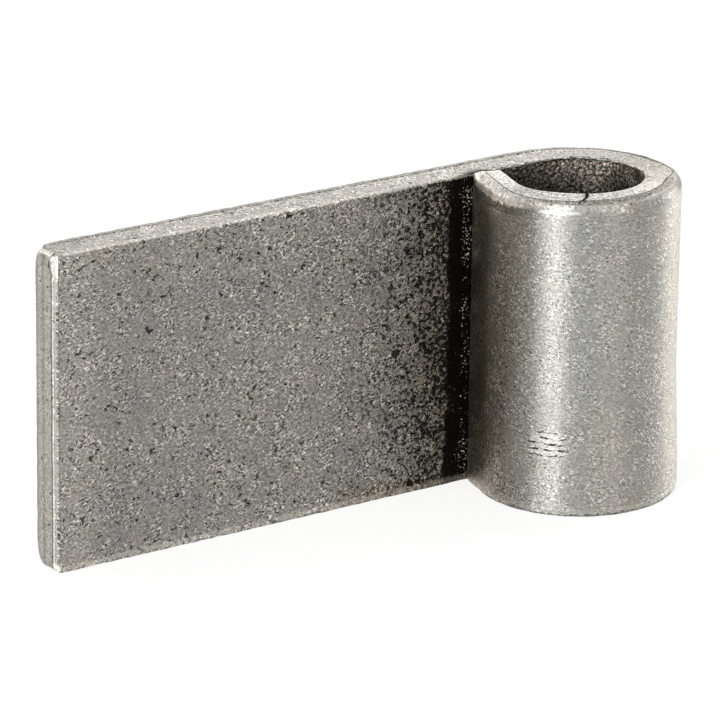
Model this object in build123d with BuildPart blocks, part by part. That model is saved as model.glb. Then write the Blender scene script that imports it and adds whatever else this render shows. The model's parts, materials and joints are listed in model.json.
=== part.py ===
"""Weld-on hinge leaf with a rolled eye.

The leaf is one length of flat steel strip. Most of it stays flat and is welded to a gate or a
frame. Its other end is rolled round a mandrel into an eye, which turns on a hinge pin. The rolled
end butts against the leaf, and that seam is left open.

Frame: Z is the pin's axis and the origin is level with the lower end of the eye. The leaf points
along -X. Its front face looks along -Y and runs into the wall of the bore, and its back face looks
along +Y and runs into the outside of the eye.
"""

import os
from math import cos, radians, sin

from build123d import *

# Driving dimensions, in millimetres and degrees
strip_width = 50.0  # the height of the leaf and the length of the eye
strip_thickness = 6.0
leaf_reach = 88.0  # from the pin's axis to the cut end of the leaf
pin_diameter = 19.0
pin_play = 0.3  # on the diameter
rolled_wall = 5.75  # rolling stretches the strip, so the eye is a little thinner than the leaf
tail_lean = 12.0  # lean of the roll's last straight stretch, in towards the pin
seam_gap = 0.15  # between the rolled end, before its edges are rounded, and the leaf

# Edges, as shearing, rolling and tumbling leave them
outside_edge_radius = 0.9  # round the back of the leaf and along the outside of the eye
inside_edge_radius = 0.4  # round the front of the leaf and at both ends of the bore
tail_edge_radius = 0.35  # round the cut end of the roll
leaf_corner_radius = 1.5  # the two corners of the leaf's cut end
bevel_along = 0.45  # the bevel ground on the front of the cut end: along the leaf
bevel_deep = 0.95  # and into its thickness

# Sizes that follow from them
bore_radius = (pin_diameter + pin_play) / 2
eye_radius = bore_radius + rolled_wall
leaf_front = bore_radius  # the front face runs into the bore as a tangent
leaf_back = leaf_front + strip_thickness
thinning = strip_thickness - rolled_wall

# The roll leaves its circle where it has turned past the half turn by the tail's lean.
lean = radians(tail_lean)
along_tail = Vector(sin(lean), cos(lean))
out_of_roll = Vector(-cos(lean), sin(lean))
tail_length = (leaf_front - seam_gap - eye_radius * sin(lean)) / cos(lean)

with BuildPart() as hinge_leaf:
    with BuildSketch():
        with BuildLine():
            # The strip's inside face: the bore, then the straight tail up to the leaf
            bore = CenterArc((0, 0), bore_radius, 90, -(270 + tail_lean))
            tail_inside = Line(bore @ 1, bore @ 1 + along_tail * tail_length)
            tail_end = Line(tail_inside @ 1, tail_inside @ 1 + out_of_roll * rolled_wall)
            # The outside face, back to the leaf: the wall grows to the strip's thickness
            # over the half turn beside it
            Line(tail_end @ 1, out_of_roll * eye_radius)
            CenterArc((0, 0), eye_radius, 180 - tail_lean, 90 + tail_lean)
            CenterArc((0, thinning / 2), leaf_back - thinning / 2, 270, 180)
            # The flat leaf
            Polyline(
                (0, leaf_back),
                (-leaf_reach, leaf_back),
                (-leaf_reach, leaf_front),
                (0, leaf_front),
            )
        make_face()
    extrude(amount=strip_width)

    cut_end = hinge_leaf.faces().sort_by(Axis.X)[0]
    fillet(cut_end.edges().filter_by(Axis.Y), radius=leaf_corner_radius)

    # From here each edge of the strip is one smooth chain, from one side of the roll's cut end
    # round the leaf to the other side. A fillet on any part of it takes the whole chain.
    outside_edge = hinge_leaf.edges().filter_by(Axis.Z).group_by(Axis.X)[0].sort_by(Axis.Y)[-1]
    fillet(outside_edge, radius=outside_edge_radius)
    inside_edge = hinge_leaf.edges().filter_by(Axis.Z).group_by(Axis.X)[0].sort_by(Axis.Y)[0]
    fillet(inside_edge, radius=inside_edge_radius)
    middle_of_tail_end = (tail_end @ 0.5) + Vector(0, 0, strip_width / 2)
    roll_end = hinge_leaf.faces().sort_by_distance(middle_of_tail_end)[0]
    fillet(roll_end.edges(), radius=tail_edge_radius)

    # The ground bevel runs out at both corners of the cut end
    with BuildSketch():
        with BuildLine():
            bevel_front = Vector(bevel_along - leaf_reach, leaf_front)
            bevel_end = Vector(-leaf_reach, leaf_front + bevel_deep)
            overrun = bevel_end - bevel_front
            Polyline(
                bevel_front - overrun,
                bevel_end + overrun,
                Vector(-leaf_reach - bevel_deep, leaf_front - bevel_deep),
                close=True,
            )
        make_face()
    extrude(amount=strip_width, mode=Mode.SUBTRACT)

hinge_leaf.part.label = "hinge_leaf"

os.makedirs("parts", exist_ok=True)
export_step(hinge_leaf.part, "parts/hinge_leaf.step")
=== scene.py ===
"""Looks of the weld-on hinge leaf: one strip of raw steel with its end rolled into an eye.

Lengths in this script are in millimetres until a mesh, a lamp or the camera is made.
"""

import json
from math import cos, pi, radians, sin
from types import SimpleNamespace

import bpy
import numpy as np
from mathutils import Matrix, Vector


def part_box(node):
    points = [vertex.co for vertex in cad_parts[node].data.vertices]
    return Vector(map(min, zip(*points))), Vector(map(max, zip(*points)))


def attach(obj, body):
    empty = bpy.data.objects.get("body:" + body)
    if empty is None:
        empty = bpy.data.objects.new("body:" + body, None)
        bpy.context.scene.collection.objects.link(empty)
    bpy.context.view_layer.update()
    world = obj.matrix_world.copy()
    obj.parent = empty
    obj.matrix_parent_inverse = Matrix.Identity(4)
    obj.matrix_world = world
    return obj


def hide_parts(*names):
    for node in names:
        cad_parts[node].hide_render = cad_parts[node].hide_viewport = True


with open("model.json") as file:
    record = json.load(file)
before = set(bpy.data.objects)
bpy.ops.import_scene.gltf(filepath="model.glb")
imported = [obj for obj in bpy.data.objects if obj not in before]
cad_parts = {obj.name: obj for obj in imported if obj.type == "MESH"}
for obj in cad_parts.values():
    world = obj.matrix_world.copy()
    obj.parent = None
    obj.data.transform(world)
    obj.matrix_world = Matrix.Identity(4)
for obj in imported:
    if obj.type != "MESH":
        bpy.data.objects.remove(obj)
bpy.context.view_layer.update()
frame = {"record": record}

MM = 0.001

# ---------------------------------------------------------------- sizes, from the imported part
low, high = (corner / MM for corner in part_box("hinge_leaf"))
mounts = {mount["name"]: mount for mount in frame["record"]["mounts"]}
BORE = mounts["eye_bore"]["dims"]["r_mm"]
WIDTH = high.z - low.z
REACH = -low.x  # from the pin's axis to the leaf's cut end
THICK = high.y - BORE  # the leaf's front face runs into the bore as a tangent
WALL = -low.y - BORE  # of the eye, past its first half turn
EYE = BORE + WALL

LEAN = radians(13)  # of the roll's straight end, in towards the pin
SEAM = 0.15  # between the rolled end and the leaf
TURN = 1.5 * pi + LEAN  # how far the strip is rolled
TAIL = (BORE - SEAM - EYE * sin(LEAN)) / cos(LEAN)  # the straight end of the roll
LENGTH = REACH + BORE * TURN + TAIL  # of the strip's inside face

INSIDE_EDGE, OUTSIDE_EDGE = 0.35, 1.1  # how far the strip's rims are rounded
LEAF_CORNERS = (1.2, 1.0)  # the lower one and the upper one
ROLL_CORNERS = (0.25, 0.25)
FLARE = 0.7  # the eye's lower end bulges out by this much on its far side
FLARE_ANGLE, FLARE_SPREAD, FLARE_HEIGHT = 124, 45, 24
BEVEL_ALONG, BEVEL_DEEP = 0.45, 0.65  # ground on the front of the leaf's cut end
ROLL_RISE = 0.35  # rolling drives the inside of the bend up by this much past the half turn
SHEAR_STEP = 0.12  # the torn outer band of the cut edges lies this much lower
PINCH = 0.6  # the upper end of the roll slopes down this far to its outside, times a share
PINCH_ANGLES = (0, 20, 60, 90, 120, 180, 225, 265)  # degrees round the eye
PINCH_SHARES = (0, 0.4, 0.5, 0.2, 0.3, 0.9, 1.1, 1.9)
WORN_LOWER = (1.3, 4.2, 6)  # depth, height and length of a worn back corner of the cut end
WORN_UPPER = (1.2, 3.0, 1.6)
TAIL_THINNED = 1.3  # the inside of the roll's free end is flattened by this much
NICK_ANGLE, NICK_SWEEP = 211.5, 6.3  # degrees round the eye to a nick, and its curve
NICK_START, NICK_LENGTH = 0.7, 4.1  # of the nick, out from the bore
NICK_DEEP = 0.4
NOTCH = 0.6  # a dent beside the bevel, near the top of the leaf's cut end
BROKEN_ANGLES, BROKEN_DEEP = (106, 112, 123, 129), 0.45  # a broken patch of the bore's upper rim
SCORCHED_ANGLES = (96, 128)  # the burnt patch under it
CLAMPED_ANGLES, CLAMPED_HEIGHTS = (221, 244), (9.3, 13.5)  # where a clamp's jaws left dashes
PEENED_ANGLES = (168, 212)  # fine streaks under the eye's upper rim

# steps between the mesh's nodes
STEPS_ACROSS, STEPS_LEAF, STEPS_EYE, STEPS_TAIL = 70, 204, 199, 15


# ---------------------------------------------------------------- the strip as a mesh
def smooth(x, start, end):
    """0 before start and 1 after end, with an easy slope between."""
    x = np.clip((x - start) / (end - start), 0, 1)
    return x * x * (3 - 2 * x)


LATTICE = 32  # values along each side of a noise's table


def lattice_noise(points, cell, seed):
    """Smooth noise from -1 to 1 at 3-D points, with features about a cell across."""
    rng = np.random.default_rng(seed)
    table = rng.uniform(-1, 1, (LATTICE, LATTICE, LATTICE))
    scaled = np.asarray(points) / cell
    base = np.floor(scaled).astype(int)
    share = scaled - base
    share = share * share * (3 - 2 * share)
    total = np.zeros(len(scaled))
    for dx in (0, 1):
        for dy in (0, 1):
            for dz in (0, 1):
                weight = (
                    np.where(dx, share[:, 0], 1 - share[:, 0])
                    * np.where(dy, share[:, 1], 1 - share[:, 1])
                    * np.where(dz, share[:, 2], 1 - share[:, 2])
                )
                index = (base + (dx, dy, dz)) % LATTICE
                total += weight * table[index[:, 0], index[:, 1], index[:, 2]]
    return total


def graded(radius, length, count, refine=6):
    """Positions from 0 to length: a rounded edge's arc at each end and even steps between."""
    arc = radius * (1 - np.cos(np.linspace(0, pi / 2, refine + 1)))
    middle = np.linspace(radius, length - radius, count + 1)
    return np.concatenate([arc[:-1], middle, length - arc[:-1][::-1]])


def stations(radius, start):
    """Positions along the strip's inside face: those given near the leaf's cut end, then ones
    that are close together where the outside is stretched, and an arc at the roll's end."""
    arc = radius * (1 - np.cos(np.linspace(0, pi / 2, len(start) + 1)))
    leaf = np.linspace(start[-1] + 0.3, REACH, STEPS_LEAF + 1)[:-1]
    eye = np.linspace(REACH, REACH + BORE * TURN, STEPS_EYE + 1)[:-1]
    tail = np.linspace(REACH + BORE * TURN, LENGTH - radius, STEPS_TAIL + 1)
    return np.concatenate([start, leaf, eye, tail, LENGTH - arc[:-1][::-1]])


def wall_at(s):
    """The strip's thickness: it thins over the first half turn."""
    turned = np.clip((s - REACH) / BORE, 0, pi)
    return WALL + (THICK - WALL) * (1 + np.cos(turned)) / 2


def roll_up(s, n, z):
    """Takes strip coordinates, along it, out from its inside face and across it, to the part."""
    turned = np.clip((s - REACH) / BORE, 0, TURN)
    flat = np.minimum(s - REACH, 0)
    straight = np.maximum(s - REACH - BORE * TURN, 0)
    radius = BORE + n
    x = flat + radius * np.sin(turned) + straight * np.cos(turned)
    y = radius * np.cos(turned) - straight * np.sin(turned)
    return np.stack([x, y, z], axis=-1)


def flattened(s):
    """How far the inside face of the roll's free end lies outside the bore's circle."""
    turned = np.degrees(np.clip(s - REACH, 0, None) / BORE)
    return TAIL_THINNED * smooth(turned, 222, 272)


def along_strip(s):
    """The strip's own direction at each place, in the part's frame."""
    turned = np.clip((s - REACH) / BORE, 0, TURN)
    return np.stack([np.cos(turned), -np.sin(turned), np.zeros_like(turned)], axis=-1)


def unrolled(s, n):
    """Length along the strip at a depth of n, where the eye is longer outside than inside."""
    turned = np.clip((s - REACH) / BORE, 0, TURN)
    return s + turned * n


def face_grid(edge_radius, bevel=None):
    """One face of the strip: in-plane places with rounded corners, depth below the face and
    distance in from the rim. A bevel replaces the rounding along the leaf's cut end."""
    start = edge_radius * (1 - np.cos(np.linspace(0, pi / 2, 7)))[:-1]
    if bevel:
        start = np.array([0, 0.35, 0.7, 0.95, 1.05, 1.5]) * bevel[0]
    across = graded(edge_radius, WIDTH, STEPS_ACROSS)
    s0, z0 = np.meshgrid(stations(edge_radius, start), across, indexing="ij")
    from_end = s0
    others = np.minimum(LENGTH - s0, np.minimum(z0, WIDTH - z0))
    edge = np.minimum(from_end, others)
    s, z = s0.copy(), z0.copy()
    for at_s, inward_s, corners in ((0, 1, LEAF_CORNERS), (LENGTH, -1, ROLL_CORNERS)):
        for at_z, inward_z, corner in ((0, 1, corners[0]), (WIDTH, -1, corners[1])):
            ds = (s0 - at_s) * inward_s - corner
            dz = (z0 - at_z) * inward_z - corner
            near = (ds < 0) & (dz < 0)
            size = np.hypot(ds, dz)
            shrink = np.where(near, np.maximum(-ds, -dz) / np.maximum(size, 1e-9), 1)
            s = np.where(near, at_s + inward_s * (corner + ds * shrink), s)
            z = np.where(near, at_z + inward_z * (corner + dz * shrink), z)
    left = np.clip(edge_radius - edge, 0, edge_radius)
    depth = edge_radius - np.sqrt(np.maximum(edge_radius**2 - left**2, 0))
    if bevel:
        bevel_along, bevel_deep = bevel
        ground = bevel_deep * np.maximum(1 - from_end / bevel_along, 0)
        share = smooth(others - from_end, -0.3, 0.5)
        depth = depth * (1 - share) + ground * share
    return s, z, depth, edge


def outline(grid):
    """The nodes round a face's rim, once each, in order."""
    return np.concatenate([grid[:-1, 0], grid[-1, :-1], grid[:0:-1, -1], grid[0, :0:-1]])


def step_line(s):
    """How far from the inside face the strip's cut edges step down to their torn outer band."""
    turned = np.degrees(np.clip((s - REACH) / BORE, 0, TURN))
    angles = (0, 85, 108, 116, 128, 150, 180, 204, 223, 245, 262, 275, 290)
    depths = (4.6, 4.4, 5.0, 4.6, 3.4, 3.1, 3.1, 3.4, 4.1, 4.6, 4.2, 3.5, 3.1)
    return np.interp(turned, angles, depths)


# columns of nodes over the cut edges: a half is the step, and they crowd there and at both faces
ACROSS = (0.02, 0.045, 0.08, 0.12, 0.18, 0.25, 0.33, 0.41, 0.47, 0.5)
ACROSS += (0.53, 0.59, 0.68, 0.77, 0.85, 0.91, 0.96)


CHART_GAP = 2  # between the charts of the texture map, which is laid out in millimetres
CHART_SHEET = 176  # side of the sheet that the charts are laid out on
OUTSIDE_SKIN = 40  # keeps the noises of the strip's two faces apart


def strip_charts(skin, quads):
    """A face of the strip, laid out flat along its own skin."""
    return skin[quads][:, :, (0, 2)]


def edge_charts(rim, column_count, shape):
    """The cut edges as four straight strips: lower edge, roll's end, upper edge, leaf's end."""
    along_s, along_z = shape[0] - 1, shape[1] - 1
    side = np.repeat((0, 1, 2, 3), (along_s, along_z, along_s, along_z))
    start = np.where(side % 2 == 0, unrolled(rim[:, 0], THICK / 2), rim[:, 2])
    following = np.roll(rim, -1, axis=0)
    end = np.where(side % 2 == 0, unrolled(following[:, 0], THICK / 2), following[:, 2])
    shift_u = np.choose(side, (0, 0, 0, WIDTH + CHART_GAP))
    first_row = 2 * (WIDTH + CHART_GAP)
    row = THICK + CHART_GAP
    shift_v = first_row + np.choose(side, (0, 2 * row, row, 2 * row))
    charts = []
    for index in range(column_count - 1):
        v0, v1 = (shift_v + THICK * (index + step) / (column_count - 1) for step in (0, 1))
        u0, u1 = start + shift_u, end + shift_u
        corners = [np.stack(pair, axis=-1) for pair in ((u0, v0), (u1, v0), (u1, v1), (u0, v1))]
        charts.append(np.stack(corners, axis=1))
    return charts


def strip_mesh():
    """The whole strip as one closed mesh of quads, in strip coordinates (along, out, across).
    Also gives each node's distance from the nearest rim and its place on the unrolled skin."""
    s_in, z_in, depth_in, edge_in = face_grid(INSIDE_EDGE, (BEVEL_ALONG, BEVEL_DEEP))
    s_out, z_out, depth_out, edge_out = face_grid(OUTSIDE_EDGE)
    # only the roll's rims are fully round outside, and the bore's rims are sharp
    at_tip = smooth(np.minimum(z_out, WIDTH - z_out) - (LENGTH - s_out), -0.2, 0.4)
    depth_out *= 0.45 + 0.55 * smooth(s_out, REACH, REACH + 9) * smooth(z_out, 2, 5)
    depth_out *= 1 - 0.5 * smooth(s_out, REACH + BORE * radians(225), REACH + BORE * radians(262))
    depth_out *= 1 - 0.6 * at_tip * smooth(s_out, LENGTH - 2, LENGTH - 1.2)
    depth_in *= 1 - 0.75 * smooth(s_in, REACH - 13, REACH - 8)
    # the back corners of the cut end are worn round
    for (deep, tall, long), from_corner in ((WORN_LOWER, z_out), (WORN_UPPER, WIDTH - z_out)):
        depth_out += deep * np.clip(1 - from_corner / tall, 0, 1) ** 2 * (1 - smooth(s_out, 0.5, long))
    shape = s_in.shape
    points = [
        np.stack([s_in, depth_in, z_in], axis=-1).reshape(-1, 3),
        np.stack([s_out, wall_at(s_out) - depth_out, z_out], axis=-1).reshape(-1, 3),
    ]
    rims = [np.maximum(edge_in, depth_in).ravel(), np.maximum(edge_out, depth_out).ravel()]
    inside = np.arange(s_in.size).reshape(shape)
    outside = inside + s_in.size
    rim_in, rim_out = outline(inside), outline(outside)
    both = np.concatenate(points)
    far = np.full(s_out.shape, OUTSIDE_SKIN)
    skin = [
        np.stack([unrolled(s_in, 0), np.zeros(s_in.shape), z_in], axis=-1).reshape(-1, 3),
        np.stack([unrolled(s_out, WALL), far, z_out], axis=-1).reshape(-1, 3),
    ]
    both_skins = np.concatenate(skin)
    columns = [rim_in]
    made = len(both)
    rim_s = both[rim_in, 0]
    step = (step_line(rim_s) / wall_at(rim_s))[:, None]
    for part in ACROSS:
        columns.append(made + np.arange(len(rim_in)))
        share = 2 * part * step if part <= 0.5 else step + (2 * part - 1) * (1 - step)
        column = both[rim_in] * (1 - share) + both[rim_out] * share
        points.append(column)
        rims.append(np.minimum(column[:, 1], wall_at(column[:, 0]) - column[:, 1]))
        skin.append(both_skins[rim_in if part < 0.5 else rim_out])
        made += len(rim_in)
    columns.append(rim_out)
    quads = [
        np.stack([grid[:-1, :-1], grid[:-1, 1:], grid[1:, 1:], grid[1:, :-1]], axis=-1).reshape(-1, 4)
        for grid in (inside, outside[:, ::-1])
    ]
    for inner, outer in zip(columns, columns[1:]):
        quads.append(np.stack([inner, np.roll(inner, -1), np.roll(outer, -1), outer], axis=-1))
    charts = [strip_charts(np.concatenate(skin), face) for face in quads[:2]]
    charts[1][:, :, 1] += WIDTH + CHART_GAP
    charts += edge_charts(both[rim_in], len(columns), shape)
    nodes = (np.concatenate(each) for each in (points, rims, skin))
    return *nodes, np.concatenate(quads), np.concatenate(charts)


def make_object(name, places, quads):
    """A smooth-shaded mesh object from places in millimetres."""
    mesh = bpy.data.meshes.new(name)
    mesh.vertices.add(len(places))
    mesh.vertices.foreach_set("co", (places * MM).astype(np.float32).ravel())
    mesh.loops.add(quads.size)
    mesh.loops.foreach_set("vertex_index", quads.astype(np.int32).ravel())
    mesh.polygons.add(len(quads))
    mesh.polygons.foreach_set("loop_start", np.arange(0, quads.size, 4, dtype=np.int32))
    mesh.update(calc_edges=True)
    mesh.validate()
    mesh.shade_smooth()
    made = bpy.data.objects.new(name, mesh)
    bpy.context.scene.collection.objects.link(made)
    return made


def normals_of(made):
    """The mesh's normals, one for each node."""
    values = np.zeros(len(made.data.vertices) * 3, np.float32)
    made.data.vertex_normals.foreach_get("vector", values)
    return values.reshape(-1, 3).astype(float)


def nick_at(turned, n):
    """1 in the nick that curves over the eye's upper end, from the bore outwards."""
    share = np.clip((n - NICK_START) / NICK_LENGTH, 0, 1)
    aside = radians(1) * np.abs(turned - NICK_ANGLE - NICK_SWEEP * share**2.2) * (BORE + n)
    inside = smooth(n, NICK_START - 0.2, NICK_START) * (1 - smooth(share, 0.95, 1))
    return np.exp(-((aside / (0.3 - 0.12 * share)) ** 2)) * inside


def relief(strip, rims, places):
    """Height of the worn surface over the plain strip, along its normals."""
    s, n, z = strip.T
    through = n / wall_at(s)
    upright = places * (1, 1, 0.12)  # what the rolling left runs the full width of the strip
    height = 0.05 * lattice_noise(upright, 15, 1) + 0.025 * lattice_noise(upright, 6, 2)
    height += 0.018 * lattice_noise(places, 9, 6) + 0.01 * lattice_noise(places, 2.4, 3)
    # rims are hammered and filed by the tumbling, less so on the eye and beside the bevel
    near_rim = 1 - smooth(rims, 0.3, 1.2)
    near_rim *= 1 - 0.9 * smooth(s, REACH, REACH + 9) * smooth(z, 10, 20)
    near_rim *= 1 - 0.75 * (1 - smooth(s, 0.6, 1.4)) * (1 - smooth(n, 0.8, 1.4))
    height += near_rim * (0.05 * lattice_noise(places, 1.6, 4) + 0.03 * lattice_noise(places, 0.8, 7))
    # the leaf's upper front rim is jagged
    jagged = (1 - smooth(rims, 0.25, 0.8)) * smooth(z, WIDTH - 2, WIDTH - 1)
    jagged *= (1 - smooth(through, 0.1, 0.2)) * (1 - smooth(s, REACH - 14, REACH - 8))
    height += jagged * (0.1 * lattice_noise(places, 1.1, 11) + 0.09 * lattice_noise(places, 0.55, 12))
    # the cut edges: the sheared band is flat, and the torn one outside it lies lower and slopes
    on_cut = smooth(np.minimum(n, wall_at(s) - n), 0.1, 0.5) * smooth(s, 1.5, 3)
    lip = n - step_line(s) + 0.12 * lattice_noise(places, 3, 8)
    torn = smooth(lip, -0.15, 0.15)
    height -= on_cut * torn * (SHEAR_STEP + 0.03 * lip)
    # the leaf's cut end: a shallow band, and a lip beside the bevel
    on_end = 1 - smooth(s, 0.2, 0.6)
    height -= on_end * 0.1 * smooth(n, 3.0, 3.3) * (1 - smooth(n, 4.2, 4.5))
    past_bevel = n - BEVEL_DEEP
    height += on_end * 0.08 * smooth(past_bevel, -0.15, 0) * (1 - smooth(past_bevel, 0.15, 0.4))
    notch = np.exp(-(((past_bevel - 0.5) / 0.4) ** 2) - ((z - WIDTH + 1.5) / 0.8) ** 2)
    height -= on_end * NOTCH * notch
    # the cut edges are rough, and smoother round the front of the eye
    turned = np.degrees(np.clip(s - REACH, 0, None) / BORE)
    rubbed = smooth(turned, 150, 180) * (1 - smooth(turned, 225, 245))
    height += on_cut * (0.02 + 0.03 * torn) * (1 - 0.9 * rubbed) * lattice_noise(places, 1.1, 9)
    # a broken patch of the bore's upper rim
    broken = smooth(turned, *BROKEN_ANGLES[:2]) * (1 - smooth(turned, *BROKEN_ANGLES[2:]))
    broken *= smooth(z, WIDTH - 2.2, WIDTH - 1.2) * (1 - smooth(through, 0.05, 0.2))
    height -= BROKEN_DEEP * broken
    # burrs along the bore's back rim at the top
    burr = smooth(z, WIDTH - 1.2, WIDTH - 0.3) * (1 - smooth(through, 0.02, 0.2))
    burr *= smooth(s, REACH - 12, REACH - 6) * (1 - smooth(s, REACH + 16, REACH + 22))
    height += burr * (0.3 * lattice_noise(places, 1.3, 5) + 0.2 * lattice_noise(places, 0.6, 10))
    # a nick across the eye's upper end
    height -= NICK_DEEP * nick_at(turned, n) * smooth(z, WIDTH - 1.5, WIDTH - 1)
    return height


def build_leaf():
    """The strip rolled up and worn, with what its shader reads at each node."""
    strip, rims, skin, quads, charts = strip_mesh()
    s, n, z = strip.T
    turned = np.degrees(np.clip(s - REACH, 0, None) / BORE)
    # the eye's upper end, its flattened free end and its bulging lower end
    rise = ROLL_RISE * smooth(turned, 90, 190) * (0.4 + 0.6 * z / WIDTH)
    outer = np.clip((n - step_line(s)) / (wall_at(s) - step_line(s)), 0, 1)
    pinch = PINCH * np.interp(turned, PINCH_ANGLES, PINCH_SHARES)
    pinch *= 1 - 0.75 * smooth(s, LENGTH - 1.8, LENGTH - 0.2)
    pinch *= outer * smooth(z, WIDTH - 9, WIDTH)
    inset = flattened(s)
    flare = FLARE * np.exp(-(((turned - FLARE_ANGLE) / FLARE_SPREAD) ** 2))
    flare = flare * (1 - smooth(z, 0, FLARE_HEIGHT)) * n / wall_at(s)
    places = roll_up(s, inset + n * (1 - inset / WALL) + flare, z + rise - pinch)
    leaf = make_object("rolled_hinge_leaf", places, quads)
    places += normals_of(leaf) * relief(strip, rims, places)[:, None]
    places[:, 2] = np.maximum(places[:, 2], 0)
    leaf.data.vertices.foreach_set("co", (places * MM).astype(np.float32).ravel())
    leaf.data.update()
    texture_map = leaf.data.uv_layers.new(name="OFBake")
    texture_map.data.foreach_set("uv", (charts / CHART_SHEET).astype(np.float32).ravel())
    lip = n - step_line(s)
    for name, values in (
        ("place", strip),
        ("skin", skin),
        ("wear", np.stack([rims, lip, n / wall_at(s)], axis=-1)),
        ("along", along_strip(s)),
    ):
        held = leaf.data.attributes.new(name, "FLOAT_VECTOR", "POINT")
        held.data.foreach_set("vector", values.astype(np.float32).ravel())
    return leaf


leaf = build_leaf()
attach(leaf, "root")
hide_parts("hinge_leaf")


# ---------------------------------------------------------------- material
class Nodes:
    """Short names for the shader nodes that the steel is built from."""

    def __init__(self, material):
        self.material = material
        material.use_nodes = True
        self.tree = material.node_tree
        self.shader = self.tree.nodes["Principled BSDF"]

    def put(self, socket, value):
        """Links a socket to another one, or sets it to a constant."""
        if isinstance(value, bpy.types.NodeSocket):
            self.tree.links.new(value, socket)
        else:
            socket.default_value = value

    def make(self, kind, inputs=(), **settings):
        """A shader node with its inputs and settings."""
        node = self.tree.nodes.new("ShaderNode" + kind)
        for name, value in settings.items():
            setattr(node, name, value)
        for name, value in dict(inputs).items():
            self.put(node.inputs[name], value)
        return node

    def math(self, operation, a, b=0.0, clamp=False):
        node = self.make("Math", operation=operation, use_clamp=clamp)
        for socket, value in zip(node.inputs, (a, b)):
            self.put(socket, value)
        return node.outputs[0]

    def step(self, value, start, end, low=0.0, high=1.0):
        """Easy slope from low at start to high at end."""
        inputs = {"Value": value, "From Min": start, "From Max": end, "To Min": low, "To Max": high}
        node = self.make("MapRange", inputs, interpolation_type="SMOOTHSTEP")
        return node.outputs["Result"]

    def fall(self, value, start, end):
        """1 before start and 0 after end."""
        return self.step(value, start, end, 1.0, 0.0)

    def band(self, value, start, end, soft):
        """1 between start and end, 0 outside."""
        rise = self.step(value, start - soft, start + soft)
        return self.math("MULTIPLY", rise, self.fall(value, end - soft, end + soft))

    def mixed(self, factor, a, b):
        """A number that goes from a to b with the factor."""
        node = self.make("Mix")
        self.put(node.inputs[0], factor)
        self.put(node.inputs[2], a)
        self.put(node.inputs[3], b)
        return node.outputs[0]

    def blend(self, factor, a, b):
        """A place that goes from a to b with the factor."""
        node = self.make("Mix", data_type="VECTOR")
        self.put(node.inputs[0], factor)
        self.put(node.inputs[4], a)
        self.put(node.inputs[5], b)
        return node.outputs[1]

    def slivers(self, vector, angle, length, across, offset=(0, 0, 0)):
        """Noise drawn out at an angle to the strip."""
        inputs = {"Vector": vector, "Angle": radians(angle)}
        turned = self.make("VectorRotate", inputs, rotation_type="Y_AXIS").outputs[0]
        size = (1 / length, 1 / across, 1 / across)
        drawn = self.make("VectorMath", {0: turned, 1: size}, operation="MULTIPLY").outputs[0]
        return self.noise(drawn, 1, 0.5, 0.5, offset)

    def noise(self, vector, cell, detail=2.0, roughness=0.5, offset=(0, 0, 0)):
        """Noise from 0 to 1, with features about a cell across."""
        moved = self.make("VectorMath", {0: vector, 1: offset}, operation="ADD").outputs[0]
        inputs = {"Vector": moved, "Scale": 1 / cell, "Detail": detail, "Roughness": roughness}
        return self.make("TexNoise", inputs).outputs["Fac"]

    def mix(self, factor, a, b, blend="MIX"):
        """A colour that goes from a to b with the factor."""
        node = self.make("Mix", data_type="RGBA", blend_type=blend)
        self.put(node.inputs[0], factor)
        self.put(node.inputs[6], a)
        self.put(node.inputs[7], b)
        return node.outputs[2]


net = Nodes(bpy.data.materials.new("raw_steel"))

# Colours of the metal, with painted tints and glints of light. Places along the strip are given from
# REACH, where the eye begins.
WARM, COOL, PINKISH = (0.3, 0.286, 0.254, 1), (0.289, 0.28, 0.261, 1), (0.3, 0.27, 0.25, 1)
RUSTY = (0.3, 0.26, 0.21, 1)
OLIVE = (0.293, 0.288, 0.258, 1)  # of the leaf's cut end
BEIGE = (0.292, 0.279, 0.254, 1)  # of the cut edges
# painted tints of light: the highlight's greenish grey, and the warm light reflected at the eye's far
# side
HIGHLIGHT_TINT = (0.289, 0.29, 0.274, 1)  # in the highlight and beside it
RIM_GLOW_TINT = (0.303, 0.28, 0.237, 1)  # on the eye's far side
SCORCHED = (0.3, 0.235, 0.155, 1)
PAINTED_GLINT = (0.9, 0.89, 0.86, 1)  # painted glints in the shaded black corner


def times(a, b):
    return net.math("MULTIPLY", a, b)


def plus(a, b):
    return net.math("ADD", a, b)


def minus(a, b):
    return net.math("SUBTRACT", a, b)


def most(a, b):
    return net.math("MAXIMUM", a, b)


def invert(a):
    return net.math("SUBTRACT", 1.0, a)


def swing(noise, amount):
    """The noise, taken to swing about zero by half the amount each way."""
    return times(minus(noise, 0.5), amount)


def fade(tone, mask, amount):
    """The tone, taken down by a share where the mask is 1."""
    return times(tone, invert(times(mask, amount)))


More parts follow.
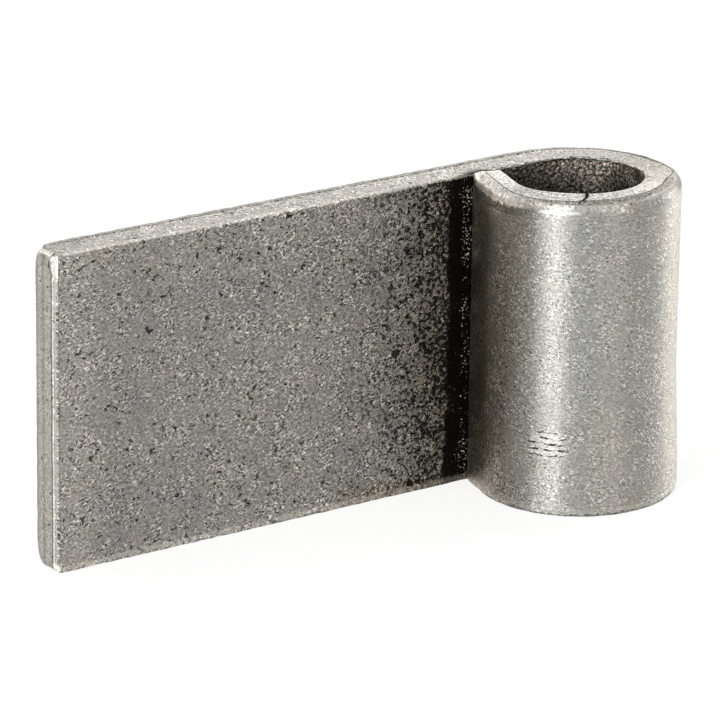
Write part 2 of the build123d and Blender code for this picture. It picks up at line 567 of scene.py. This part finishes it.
def find_places():
    """Where a shaded point is: its strip coordinates, and masks of the strip's faces."""
    at = SimpleNamespace()
    at.spot = net.make("TexCoord").outputs["Object"]
    at.spot = net.make("VectorMath", {0: at.spot, 3: 1 / MM}, operation="SCALE").outputs[0]
    place = net.make("Attribute", attribute_name="place").outputs["Vector"]
    # along the strip, out from its inside face and across it
    at.s, at.n, at.z = net.make("SeparateXYZ", {0: place}).outputs
    wear = net.make("Attribute", attribute_name="wear").outputs["Vector"]
    # in from the nearest rim, out from the step of the cut edges, and the share of the thickness
    at.rim, at.lip, at.through = net.make("SeparateXYZ", {0: wear}).outputs
    at.skin = net.make("Attribute", attribute_name="skin").outputs["Vector"]
    at.along = net.make("Attribute", attribute_name="along").outputs["Vector"]
    at.from_top = minus(WIDTH, at.z)

    # masks of the strip's faces
    front = net.fall(at.through, 0.03, 0.045)
    at.back = net.step(at.through, 0.9, 0.96)
    at.in_roll = net.step(at.s, REACH - 2, REACH + 6)
    at.on_cut = times(net.band(at.through, 0.07, 0.86, 0.02), net.step(at.s, 0.5, 1.0))
    behind_bevel = net.step(at.n, BEVEL_DEEP - 0.05, BEVEL_DEEP + 0.05)
    at.on_end = times(net.fall(at.s, 0.12, 0.25), behind_bevel)
    at.on_bevel = times(net.fall(at.s, 0.4, 0.5), invert(behind_bevel))
    at.in_bore = net.step(at.s, REACH - 12.5, REACH - 8.5)
    at.in_bore = times(net.fall(at.through, 0.015, 0.03), at.in_bore)
    at.on_front = times(front, net.fall(at.s, REACH - 9.0, REACH - 8.5))
    at.roll_outside = times(at.back, at.in_roll)
    # the angle round the eye, in radians
    at.turned = net.math("DIVIDE", minus(at.s, REACH), BORE)
    return at


def add_noises(at):
    """Noises that several of the marks share."""
    at.pattern = net.blend(net.band(at.through, 0.07, 0.86, 0.02), at.skin, at.spot)
    at.broad = net.noise(at.pattern, 10, 2, 0.5, (3, 1, 7))
    at.middling = net.noise(at.pattern, 2.6, 2, 0.6, (5, 9, 2))
    at.grain = net.noise(at.pattern, 0.5, 1, 0.6)
    at.speck = net.noise(at.pattern, 0.2, 0, 0.5, (8, 8, 1))
    sway = net.noise(at.pattern, 0.9, 1, 0.5, (4, 4, 9))
    sway = net.make("CombineXYZ", {0: swing(sway, 1.1), 2: swing(at.grain, 0.7)}).outputs[0]
    at.bent = net.make("VectorMath", {0: at.pattern, 1: sway}, operation="ADD").outputs[0]
    at.crowded = net.step(net.noise(at.pattern, 2.2, 1, 0.5, (7, 3, 3)), 0.36, 0.62, 0.4, 1.05)
    at.bright = net.step(net.slivers(at.bent, 38, 0.8, 0.2, (2, 6, 4)), 0.6, 0.66)
    at.bright = most(at.bright, net.step(net.slivers(at.bent, -12, 0.7, 0.18, (9, 2, 5)), 0.62, 0.68))
    at.bright = times(at.bright, at.crowded)
    at.dark = net.step(net.slivers(at.bent, 35, 0.6, 0.22, (6, 1, 1)), 0.59, 0.65)
    at.dark = times(at.dark, at.crowded)
    # painted light and shade of a relief: slivers less the same ones moved a little are lit on one side
    # and dark on the other
    at.lit = net.slivers(at.bent, 30, 0.6, 0.24, (5, 5, 2))
    at.lit = minus(at.lit, net.slivers(at.bent, 30, 0.6, 0.24, (5.1, 5, 2.5)))
    at.lit = plus(at.lit, net.slivers(at.bent, -35, 0.6, 0.24, (1, 5, 7)))
    at.lit = minus(at.lit, net.slivers(at.bent, -35, 0.6, 0.24, (1.1, 5, 7.5)))
    at.pits = net.step(net.noise(at.bent, 0.85, 1, 0.6, (1, 9, 4)), 0.655, 0.69)
    at.pits = times(at.pits, net.step(net.noise(at.pattern, 5, 0, 0.5, (2, 2, 9)), 0.35, 0.5))
    at.pits = times(at.pits, invert(times(at.roll_outside, 0.75)))


def bare_metal(at):
    """Brightness of the bare metal: grain, scratches and pits, painted light and shade on small slivers,
    calmer in some places.
    """
    outer_side = times(net.step(at.through, 0.8, 0.86), at.in_roll)
    by_angle = net.step(at.turned, radians(150), radians(200), -0.68, -0.55)
    calm = plus(1.0, times(outer_side, by_angle))
    calm = plus(calm, times(at.on_end, -0.5))
    near_tip = net.step(at.turned, radians(255), radians(270), 0.0, 0.5)
    calm = plus(calm, times(outer_side, near_tip))
    leaf_back = times(net.step(at.through, 0.8, 0.86), invert(at.in_roll))
    calm = plus(calm, times(times(leaf_back, invert(at.on_end)), -0.35))
    calm = times(calm, net.mixed(at.on_front, 1.0, net.step(at.s, 12, 50, 0.88, 1.18)))
    round_back = net.band(at.turned, radians(20), radians(165), 0.2)
    calm = plus(calm, times(at.on_cut, times(round_back, -0.4)))
    tone = swing(net.step(at.grain, 0.36, 0.64), 0.3)
    tone = plus(tone, swing(net.step(at.speck, 0.36, 0.64), 0.25))
    tone = plus(tone, swing(at.broad, 0.3))
    tone = plus(tone, swing(at.middling, 0.3))
    tone = minus(tone, times(at.dark, 0.8))
    # painted light and shade of the slivers' relief
    tone = plus(tone, times(at.lit, times(at.crowded, 1.9)))
    tone = plus(0.96, times(tone, calm))
    tone = plus(tone, times(at.bright, times(most(calm, 0.5), 1.6)))
    tone = fade(tone, at.pits, 0.85)
    soot = net.step(net.noise(at.bent, 0.3, 1, 0.6, (3, 8, 8)), 0.56, 0.64)
    soot = times(soot, times(at.roll_outside, net.step(at.turned, radians(222), radians(250))))
    tone = fade(tone, soot, 0.6)
    return tone


def front_scale_shade_and_glints(at, tone):
    """The leaf's front is darker past its cut end and darker still towards the eye, partly painted shade
    and partly dirt, with flakes of scale, a corner by the eye that is black from scale and painted shade,
    and painted glints.
    """
    # painted shade, partly dirt: the front is darker past its cut end and darker still towards the eye
    tone = times(tone, net.mixed(at.on_front, 1.0, net.step(at.s, 4, 9, 1.0, 0.82)))
    shade = net.step(at.s, REACH - 46, REACH - 29, 1.0, 0.83)
    shade = times(shade, net.step(at.s, REACH - 30, REACH - 18, 1.0, 0.74))
    tone = times(tone, net.mixed(at.on_front, 1.0, shade))
    common = net.step(at.s, REACH - 46, REACH - 25, 0.0, 0.105)
    common = plus(common, net.step(at.s, REACH - 28, REACH - 17, 0.0, 0.1))
    common = plus(common, swing(net.noise(at.pattern, 3, 1, 0.5, (9, 5, 5)), 0.16))
    at.flakes = net.step(plus(net.noise(at.bent, 0.64, 2, 0.65, (6, 2, 2)), common), 0.655, 0.685)
    at.flakes = times(times(at.flakes, net.step(at.s, REACH - 50, REACH - 42)), at.on_front)
    patches = net.step(net.noise(at.bent, 2.2, 1, 0.5, (2, 7, 2)), 0.66, 0.68)
    patches = times(times(patches, net.band(at.s, REACH - 30, REACH - 19, 2)), at.on_front)
    at.flakes = most(at.flakes, patches)
    tone = net.mixed(at.flakes, tone, net.step(at.s, REACH - 40, REACH - 24, 0.3, 0.03))
    # the corner by the eye goes near black: painted shade and black scale, also on the upper front rim
    # under the roll
    edge = plus(at.s, plus(swing(net.noise(at.pattern, 5, 1, 0.5, (1, 2, 8)), 2.4), swing(at.grain, 1.2)))
    at.black = times(net.step(edge, REACH - 18.1, REACH - 17.4), at.on_front)
    over_rim = times(net.fall(at.n, 0.5, 0.8), net.band(at.s, REACH - 16.2, REACH - 13.4, 0.5))
    at.black = most(at.black, over_rim)
    tone = times(tone, net.mixed(at.black, 1.0, 0.03))
    # painted glints: bright specks over the darker front and in the black corner
    thinned = net.step(net.noise(at.pattern, 4, 1, 0.5, (6, 6, 6)), 0.4, 0.6, 0.06, -0.02)
    sparkle = minus(net.noise(at.bent, 0.22, 0, 0.5, (3, 9, 6)), thinned)
    painted_glitter = times(net.step(sparkle, 0.64, 0.72), net.band(at.s, REACH - 40, REACH - 18, 3))
    tone = plus(tone, times(times(painted_glitter, at.on_front), 0.6))
    at.glint = times(net.step(sparkle, 0.68, 0.73), net.band(at.s, REACH - 15.2, REACH - 13.4, 0.3))
    at.glint = times(most(at.glint, net.step(sparkle, 0.8, 0.84)), at.black)
    return tone


def roll_end(at, tone):
    """The outside of the roll is browner towards its free end and darker just before it, and everything
    at the free end is lighter, a painted light where shade falls.
    """
    at.brown = times(at.back, net.step(at.turned, radians(215), radians(290)))
    # painted light: lighter at the roll's free end, where shade falls
    tone = plus(tone, times(net.step(at.turned, radians(262), radians(282)), 0.6))
    tone = fade(tone, times(at.roll_outside, net.band(at.turned, radians(242), radians(266), 0.08)), 0.22)
    return tone


def inside_eye(at, tone):
    """The bore is mottled and darker inside, a painted shade that deepens away from its ends and where
    the leaf runs into it, and it is darker in a ragged band along its upper rim.
    """
    # painted shade: darker away from the bore's ends and where the leaf runs into it
    deep = net.step(net.math("MINIMUM", at.z, at.from_top), 0.4, 6.5, 0.56, 0.17)
    deep = times(deep, net.step(at.s, REACH - 9, REACH + 6, 0.45, 1.0))
    mottled = net.step(net.noise(at.pattern, 0.5, 2, 0.8, (3, 3, 1)), 0.41, 0.62, 0.2, 1.95)
    mottled = times(mottled, net.step(at.broad, 0.35, 0.65, 0.7, 1.3))
    # darker in a ragged band along the bore's upper rim
    ragged_top = plus(at.from_top, swing(net.noise(at.spot, 1.6, 2, 0.6, (4, 4, 1)), 1.6))
    deep = times(deep, net.step(ragged_top, 0.15, 0.5, 0.3, 1.0))
    tone = times(tone, net.mixed(at.in_bore, 1.0, times(deep, mottled)))
    return tone


def cut_edges(at, tone):
    """A bright sheared band, a painted shadow line at the step, and a torn band with a darker stripe by
    the step.
    """
    at.ragged = plus(at.lip, swing(net.noise(at.pattern, 1.3, 2, 0.6), 0.4))
    at.torn = times(net.step(at.ragged, -0.04, 0.04), at.on_cut)
    spread = net.mixed(net.band(at.turned, radians(130), radians(245), 0.2), 0.14, 0.17)
    # painted shadow line along the step down to the torn band
    at.line = net.fall(minus(net.math("ABSOLUTE", minus(at.ragged, 0.02)), spread), 0, 0.05)
    at.line = times(at.line, at.on_cut)
    sheared = times(net.band(at.ragged, -0.34, -0.1, 0.05), at.on_cut)
    tone = fade(tone, at.torn, 0.16)
    at.stripe = times(net.band(plus(at.ragged, swing(at.grain, 0.5)), 0.15, 1.35, 0.25), at.on_cut)
    at.stripe = times(at.stripe, net.band(at.turned, radians(135), radians(250), 0.25))
    tone = fade(tone, at.stripe, 0.27)
    tone = plus(tone, times(sheared, 0.3))
    return tone


def cut_end(at, tone):
    """The leaf's cut end has bands along its height, a painted highlight on the lip beside the bevel with
    a painted shadow line past it, painted shade in its dent, and a painted highlight on its bevel and
    along its lower front corner.
    """
    wobble = plus(at.n, swing(at.middling, 0.35))
    ragged_foot = plus(at.z, swing(at.grain, 1.6))
    end = plus(1.2, times(net.band(wobble, 3.1, 3.75, 0.15), -0.28))
    # a painted shadow line just past the lip, and a painted highlight on the lip beside the bevel
    end = minus(end, times(net.band(wobble, BEVEL_DEEP + 0.4, BEVEL_DEEP + 0.75, 0.06), 0.65))
    end = plus(end, times(net.band(wobble, BEVEL_DEEP, BEVEL_DEEP + 0.35, 0.06), 1.0))
    end = minus(end, times(net.step(at.n, 4.7, 5.2), 0.3))
    tone = times(tone, net.mixed(at.on_end, 1.0, end))
    # painted shade in the dent near the top
    dent = net.band(plus(at.from_top, swing(at.middling, 0.6)), 0.9, 2.2, 0.3)
    dent = times(net.band(at.n, BEVEL_DEEP + 0.1, BEVEL_DEEP + 0.9, 0.2), dent)
    tone = fade(tone, times(dent, at.on_end), 0.7)
    # painted highlight on the bevel, strongest near its top
    tone = plus(tone, times(times(at.on_bevel, net.fall(at.from_top, 3.2, 3.8)), 0.6))
    tone = plus(tone, times(times(at.on_bevel, net.fall(at.from_top, 3.6, 16)), 0.25))
    # painted highlight along the lower front corner
    lower_corner_highlight = times(net.fall(ragged_foot, 1.2, 1.8), net.fall(at.s, 0.5, 0.9))
    tone = plus(tone, times(times(lower_corner_highlight, net.fall(at.n, 1.0, 1.5)), 1.2))
    return tone


def rims_worn_and_lit(at, tone):
    """Rims are lighter at the front, partly wear and partly painted highlight, and are left unlit round
    the back of the leaf and the eye, with a painted shadow under the roll's frayed band.
    """
    # the torn band widens towards the roll's free end, and frays down over its outside
    frayed = times(net.step(at.turned, radians(232), radians(264)), net.step(at.ragged, 0.02, 0.1))
    frayed = times(frayed, net.fall(at.from_top, 3, 4))
    uneven_rim = swing(net.noise(at.spot, 0.8, 2, 0.7, (9, 1, 1)), plus(0.8, times(frayed, 0.8)))
    ragged_rim = plus(at.rim, uneven_rim)
    ragged_rim = minus(ragged_rim, times(frayed, plus(0.5, times(at.on_cut, 2))))
    # lighter rims: partly wear, partly painted highlight
    worn = net.fall(ragged_rim, 0.25, 0.37)
    near_bevel = net.fall(at.n, BEVEL_DEEP, BEVEL_DEEP + 0.15)
    worn = times(worn, invert(times(net.fall(at.s, 1.1, 1.4), near_bevel)))
    # painted shadow just under the frayed band
    painted_shadow_beneath = times(times(net.band(ragged_rim, 0.37, 1.8, 0.12), frayed), at.roll_outside)
    tone = fade(tone, painted_shadow_beneath, 0.35)
    roll_tip = times(net.step(at.s, LENGTH - 0.6, LENGTH - 0.35), net.fall(at.from_top, 0.6, 0.9))
    worn = most(worn, times(roll_tip, at.on_cut))
    worn = times(worn, net.mixed(at.in_bore, 1.0, net.fall(at.rim, 0.1, 0.22)))
    # a painted highlight on a slant along the leaf's upper corner
    corner = times(net.band(minus(at.s, at.from_top), -0.45, 0.45, 0.2), net.fall(at.s, 0.9, 1.2))
    worn = most(worn, times(corner, net.step(at.n, 1, 1.5)))
    # the back rims and the eye's far side get little or none of the painted highlight
    at.behind = net.fall(at.turned, radians(130), radians(165))
    at.behind = times(net.step(at.through, 0.86, 0.93), at.behind)
    worn = times(worn, invert(times(net.band(at.turned, radians(120), radians(172), 0.15), 0.75)))
    blotched = net.step(net.noise(at.spot, 0.9, 2, 0.7, (2, 8, 8)), 0.4, 0.6, 0.4, 1.05)
    at.upper_rim = times(net.step(at.through, 0.72, 0.8), at.in_roll)
    at.upper_rim = times(at.upper_rim, net.fall(at.from_top, 3, 4))
    gain = net.mixed(at.upper_rim, 0.75, 0.15)
    tone = plus(tone, times(times(worn, invert(at.behind)), net.mixed(frayed, gain, blotched)))
    return tone


def lines_and_smears(at, tone):
    """The step's painted shadow line, painted shade by the seam, a dark ragged line on the bore's back
    rim and a light one on its front, a painted highlight under the eye's rim, and painted shade against
    glare, at the bevel's foot and along the back rims.
    """
    # the painted shadow line at the step is faint along the leaf and strongest round the front of the eye
    round_eye = net.step(at.turned, radians(60), radians(130), 0.35, 0.7)
    at.line = times(at.line, net.mixed(net.step(at.s, REACH - 4, REACH + 8), 0.15, round_eye))
    tone = fade(tone, at.line, 0.92)
    # a painted highlight along the edge under the highlight's rim
    lit_edge = net.band(plus(at.from_top, swing(at.grain, 0.4)), 0.6, 1.0, 0.1)
    lit_edge = times(lit_edge, net.step(at.through, 0.82, 0.86))
    lit_edge = times(lit_edge, net.band(at.turned, radians(217), radians(240), 0.05))
    tone = plus(tone, times(lit_edge, 0.8))
    # painted shade where the roll closes on the leaf, and a dark ragged line along the bore's back rim
    at.smear = times(net.band(at.s, REACH - 14.5, REACH - 10, 1.2), net.fall(at.n, 0.2, 2.4))
    at.smear = times(at.smear, net.step(at.through, 0.02, 0.04))
    frayed_rim = plus(at.n, swing(net.noise(at.spot, 0.7, 2, 0.7, (7, 7, 2)), 2.6))
    frayed_rim = times(net.fall(frayed_rim, 0.1, 0.3), net.step(at.through, 0.012, 0.03))
    frayed_rim = times(frayed_rim, net.band(at.s, REACH - 10, REACH + 13, 2))
    at.smear = most(at.smear, frayed_rim)
    tone = fade(tone, at.smear, 0.9)
    # the bore's rim is lighter in a thin line at the front
    light_bore_rim = times(times(net.fall(at.n, 0.12, 0.2), net.step(at.through, 0.005, 0.015)), at.in_roll)
    tone = plus(tone, times(times(light_bore_rim, net.step(at.turned, radians(150), radians(170))), 0.9))
    # painted shade: against the glare on the far side of the upper rim and the highlight at the bevel's
    # foot, and along the back rims, there partly scale
    glare = times(net.band(at.turned, radians(118), radians(165), 0.15), net.step(at.through, 0.8, 0.86))
    tone = fade(tone, times(glare, net.fall(at.from_top, 0.8, 1.8)), 0.4)
    crease = times(net.band(at.s, 0.34, 0.62, 0.06), net.fall(at.n, 0.1, 0.3))
    tone = fade(tone, times(crease, net.step(at.from_top, 3, 4)), 0.4)
    back_rim_shade_and_scale = times(times(at.behind, net.fall(at.rim, 0.5, 0.8)), net.step(at.s, 1.5, 3))
    tone = fade(tone, back_rim_shade_and_scale, net.step(at.s, REACH - 4, REACH + 8, 0.65, 0.5))
    return tone


def lower_rims(at, tone):
    """The lower rims carry a painted highlight above a darker bottom edge."""
    ragged_z = plus(at.z, swing(net.noise(at.spot, 0.7, 2, 0.7, (1, 1, 9)), 1.2))
    lit_rim = times(net.band(ragged_z, 0.3, 1.1, 0.2), most(at.on_front, at.roll_outside))
    tone = plus(tone, times(lit_rim, net.mixed(at.roll_outside, 0.4, 0.25)))
    dark_rim = times(net.fall(ragged_z, 0.2, 0.35), most(at.on_front, at.roll_outside))
    tone = fade(tone, dark_rim, 0.6)
    tone = most(tone, 0.02)
    return tone


def tool_marks(at, tone):
    """The nick, the clamp's dashes and the peening."""
    # a nick across the upper end of the eye
    share = net.math("DIVIDE", minus(at.n, NICK_START), NICK_LENGTH, clamp=True)
    curve = plus(radians(NICK_ANGLE), times(net.math("POWER", share, 2.2), radians(NICK_SWEEP)))
    aside = times(net.math("ABSOLUTE", minus(at.turned, curve)), plus(BORE, at.n))
    at.nick = net.fall(plus(aside, times(share, 0.22)), 0.3, 0.38)
    at.nick = times(at.nick, net.band(at.n, NICK_START, NICK_START + NICK_LENGTH, 0.1))
    at.nick = times(at.nick, net.fall(at.from_top, 1, 1.5))
    # dashes that the jaws of a clamp left on the outside
    rows = net.math("PINGPONG", plus(at.z, swing(at.middling, 0.8)), 0.48)
    at.dashes = net.step(net.slivers(at.pattern, 0, 0.9, 0.35, (5, 5, 5)), 0.42, 0.5)
    at.dashes = times(net.fall(rows, 0.1, 0.22), at.dashes)
    clamped = net.band(at.turned, *map(radians, CLAMPED_ANGLES), 0.05)
    clamped = times(net.band(at.z, *CLAMPED_HEIGHTS, 0.4), clamped)
    clamped = times(clamped, at.back)
    tone = plus(tone, times(clamped, 0.3))
    at.dashes = times(at.dashes, clamped)
    # peened streaks under the eye's upper rim
    at.peened = net.band(at.turned, *map(radians, PEENED_ANGLES), 0.1)
    at.peened = times(net.band(at.from_top, 0.8, 3.2, 0.7), at.peened)
    streaks = swing(net.slivers(at.pattern, 0, 4.5, 0.2, (1, 1, 1)), 1.4)
    at.peened = times(times(at.peened, at.back), streaks)
    tone = plus(tone, times(at.peened, 0.6))
    uneven = net.step(net.noise(at.pattern, 0.8, 1, 0.5, (6, 9, 9)), 0.35, 0.55, 0.5, 0.95)
    tone = fade(tone, most(at.nick, times(at.dashes, uneven)), 0.99)
    return tone


def colour(at, tone):
    """The colour of the steel, its stains and its scorched patch, with painted tints of the light in the
    highlight and at the eye's far side and painted glints, times the tone.
    """
    bare = net.mix(net.step(at.broad, 0.4, 0.6), COOL, WARM)
    bare = net.mix(net.step(at.middling, 0.58, 0.72), bare, PINKISH)
    stain = net.step(net.noise(at.pattern, 6, 2, 0.6, (8, 1, 3)), 0.6, 0.75)
    stain = times(stain, net.step(at.rim, 2, 9, 0.6, 0.35))
    stained_foot = net.step(plus(at.z, swing(at.middling, 3)), 1.5, 4, 0.8, 0.0)
    stained_foot = times(stained_foot, net.band(at.s, REACH - 38, REACH - 14, 4))
    stain = most(stain, times(stained_foot, at.on_front))
    bare = net.mix(times(at.on_cut, net.step(at.from_top, 1, 2, 1.0, 0.5)), bare, BEIGE)
    bare = net.mix(at.on_end, bare, OLIVE)
    in_eye = times(at.in_bore, net.step(at.rim, 0.3, 0.6, 0.0, 0.7))
    bare = net.mix(most(most(times(at.brown, 0.8), in_eye), stain), bare, RUSTY)
    # painted tint of the highlight's light, in it and beside it
    highlight_tinted = times(at.roll_outside, net.band(at.turned, radians(204), radians(252), 0.06))
    highlight_tinted = times(highlight_tinted, net.step(at.turned, radians(218), radians(228), 0.8, 0.5))
    bare = net.mix(highlight_tinted, bare, HIGHLIGHT_TINT)
    # painted warm tint of the light reflected at the eye's far side
    rim_glow_tinted = times(at.in_roll, net.band(at.turned, radians(80), radians(152), 0.15))
    bare = net.mix(times(rim_glow_tinted, 0.9), bare, RIM_GLOW_TINT)
    scorched = net.band(at.turned, *map(radians, SCORCHED_ANGLES), 0.08)
    scorched = times(scorched, net.fall(at.from_top, 1.6, 2.4))
    bare = net.mix(times(scorched, at.in_bore), bare, SCORCHED)
    tone = fade(tone, times(scorched, at.in_bore), 0.5)
    shades = net.make("CombineColor", {0: tone, 1: tone, 2: tone}).outputs[0]
    bare = net.mix(1.0, bare, shades, "MULTIPLY")
    bare = net.mix(at.glint, bare, PAINTED_GLINT)
    net.put(net.shader.inputs["Base Color"], bare)


def roughness(at):
    """How the metal scatters light, drawn out along the strip."""
    net.shader.inputs["Metallic"].default_value = 1
    rough = plus(net.step(at.grain, 0.3, 0.7, 0.55, 0.44), times(at.in_bore, 0.12))
    rough = plus(rough, plus(times(at.torn, 0.08), times(at.roll_outside, -0.04)))
    dark_marks = most(most(at.line, at.smear), at.black)
    rough = plus(rough, plus(times(at.nick, 0.5), times(dark_marks, 0.3)))
    rough = plus(net.mixed(times(at.upper_rim, 0.85), rough, 0.5), times(at.stripe, 0.13))
    net.put(net.shader.inputs["Roughness"], rough)
    net.shader.inputs["Anisotropic"].default_value = 0.75
    net.shader.inputs["Anisotropic Rotation"].default_value = 0.25
    net.put(net.shader.inputs["Tangent"], at.along)


def fine_relief(at):
    """The finest marks, as a bump."""
    height = plus(times(at.grain, 0.04), times(at.speck, 0.015))
    height = plus(height, times(at.bright, 0.03))
    height = minus(height, times(at.dark, 0.03))
    height = minus(height, times(at.pits, 0.05))
    height = minus(height, times(at.flakes, 0.07))
    height = minus(height, times(at.dashes, 0.12))
    height = plus(height, times(at.peened, 0.03))
    height = times(height, net.mixed(at.upper_rim, 1.0, 0.3))
    bump = net.make("Bump", {"Height": height, "Distance": MM, "Strength": 0.6})
    net.put(net.shader.inputs["Normal"], bump.outputs[0])


def steel():
    """Raw mill steel: tumbled grey, torn and filed edges, dark scale and painted shade in the corner by
    the eye, and painted light and shade along many rims.
    """
    at = find_places()
    add_noises(at)
    tone = bare_metal(at)
    for stage in (
        front_scale_shade_and_glints,
        roll_end,
        inside_eye,
        cut_edges,
        cut_end,
        rims_worn_and_lit,
        lines_and_smears,
        lower_rims,
        tool_marks,
    ):
        tone = stage(at, tone)
    colour(at, tone)
    roughness(at)
    fine_relief(at)
    return net.material


leaf.data.materials.append(steel())


# ---------------------------------------------------------------- stage, light and camera
HUB = Vector((0, 0, WIDTH / 2))  # what the lamps face
FLOOR_REACH = 4000
FLOOR_WHITE = 0.77  # share of the floor that is plain white to whoever looks at it
STUDIO_MATT, STUDIO_SEEN = 0.4, 1.0  # the studio's strength for matt light and where it is seen


def seen(nodes, links):
    """1 for the camera's rays and for reflected and refracted ones, which see white paper."""
    rays = nodes.new("ShaderNodeLightPath")
    total = rays.outputs["Is Camera Ray"]
    for kind in ("Is Glossy Ray", "Is Transmission Ray"):
        either = nodes.new("ShaderNodeMath")
        either.operation = "MAXIMUM"
        links.new(total, either.inputs[0])
        links.new(rays.outputs[kind], either.inputs[1])
        total = either.outputs[0]
    return total


def stage_floor():
    """White paper: lit as any surface is, and part of it plain white to whoever looks at it."""
    mesh = bpy.data.meshes.new("floor")
    reach = FLOOR_REACH * MM
    corners = [(-reach, -reach, 0), (reach, -reach, 0), (reach, reach, 0), (-reach, reach, 0)]
    mesh.from_pydata(corners, [], [(0, 1, 2, 3)])
    floor = bpy.data.objects.new("floor", mesh)
    bpy.context.scene.collection.objects.link(floor)
    material = bpy.data.materials.new("floor_paper")
    material.use_nodes = True
    nodes, links = material.node_tree.nodes, material.node_tree.links
    nodes.remove(nodes["Principled BSDF"])
    paper = nodes.new("ShaderNodeBsdfDiffuse")
    paper.inputs["Color"].default_value = (0.9, 0.9, 0.9, 1)
    white = nodes.new("ShaderNodeEmission")
    share = nodes.new("ShaderNodeMath")
    share.operation = "MULTIPLY"
    links.new(seen(nodes, links), share.inputs[0])
    share.inputs[1].default_value = FLOOR_WHITE
    mix = nodes.new("ShaderNodeMixShader")
    links.new(share.outputs[0], mix.inputs[0])
    links.new(paper.outputs[0], mix.inputs[1])
    links.new(white.outputs[0], mix.inputs[2])
    # from below it isn't there, so that the part's underside shows
    one_sided = nodes.new("ShaderNodeMixShader")
    links.new(nodes.new("ShaderNodeNewGeometry").outputs["Backfacing"], one_sided.inputs[0])
    links.new(mix.outputs[0], one_sided.inputs[1])
    links.new(nodes.new("ShaderNodeBsdfTransparent").outputs[0], one_sided.inputs[2])
    links.new(one_sided.outputs[0], nodes["Material Output"].inputs["Surface"])
    mesh.materials.append(material)


def surroundings():
    """A white studio, which lights matt things less than it shows in the steel."""
    world = bpy.data.worlds.new("studio")
    world.use_nodes = True
    nodes, links = world.node_tree.nodes, world.node_tree.links
    strength = nodes.new("ShaderNodeMapRange")
    links.new(seen(nodes, links), strength.inputs["Value"])
    strength.inputs["To Min"].default_value = STUDIO_MATT
    strength.inputs["To Max"].default_value = STUDIO_SEEN
    background = nodes["Background"]
    background.inputs["Color"].default_value = (1, 1, 1, 1)
    links.new(strength.outputs["Result"], background.inputs["Strength"])
    bpy.context.scene.world = world


def soft_box(name, azimuth, elevation, distance, size, radiance):
    """A lamp that faces the eye. Azimuth 0 stands in front of the leaf, 90 to its right."""
    lamp = bpy.data.lights.new(name, "AREA")
    lamp.shape = "RECTANGLE"
    lamp.size, lamp.size_y = (length * MM for length in size)
    lamp.energy = radiance * lamp.size * lamp.size_y * pi
    made = bpy.data.objects.new(name, lamp)
    azimuth, elevation = radians(azimuth), radians(elevation)
    toward = Vector((sin(azimuth) * cos(elevation), -cos(azimuth) * cos(elevation), sin(elevation)))
    made.location = (HUB + toward * distance) * MM
    made.rotation_mode = "QUATERNION"
    made.rotation_quaternion = toward.to_track_quat("Z", "Y")
    made.visible_camera = False
    bpy.context.scene.collection.objects.link(made)


def camera_at(yaw, pitch, roll, distance, aim, lens):
    """The camera looks at the aim from a distance, yawed from +Y, pitched down and rolled."""
    camera = bpy.data.cameras.new("camera")
    camera.sensor_width = 36
    camera.lens = lens
    camera.clip_start, camera.clip_end = 0.01, 20
    made = bpy.data.objects.new("camera", camera)
    forward = Vector((sin(yaw) * cos(pitch), cos(yaw) * cos(pitch), -sin(pitch)))
    side = Vector((cos(yaw), -sin(yaw), 0))
    up = side.cross(forward)
    right = side * cos(roll) + up * sin(roll)
    above = up * cos(roll) - side * sin(roll)
    turn = Matrix((right, above, -forward)).transposed().to_4x4()
    made.matrix_world = Matrix.Translation((aim - forward * distance) * MM) @ turn
    bpy.context.scene.collection.objects.link(made)
    bpy.context.scene.camera = made


stage_floor()
surroundings()
# azimuth, elevation, distance, width and height, radiance
soft_box("key", -63.5, 14, 620, (180, 540), 13.9)
soft_box("front_fill", 2, 22, 1000, (560, 700), 1.9)
soft_box("rim", 90, 8, 700, (380, 190), 13)
soft_box("right_back", 115, 25, 900, (1200, 420), 2.4)
soft_box("left_back", -135, 20, 1200, (700, 700), 1.6)
soft_box("overhead", 0, 89, 1200, (1200, 1200), 1.4)
camera_at(
    yaw=radians(34.34),
    pitch=radians(19.63),
    roll=radians(0.75),
    distance=821.7,
    aim=Vector((-40.52, 0, 27.85)),
    lens=273.18,
)
bpy.context.scene.view_settings.view_transform = "Standard"
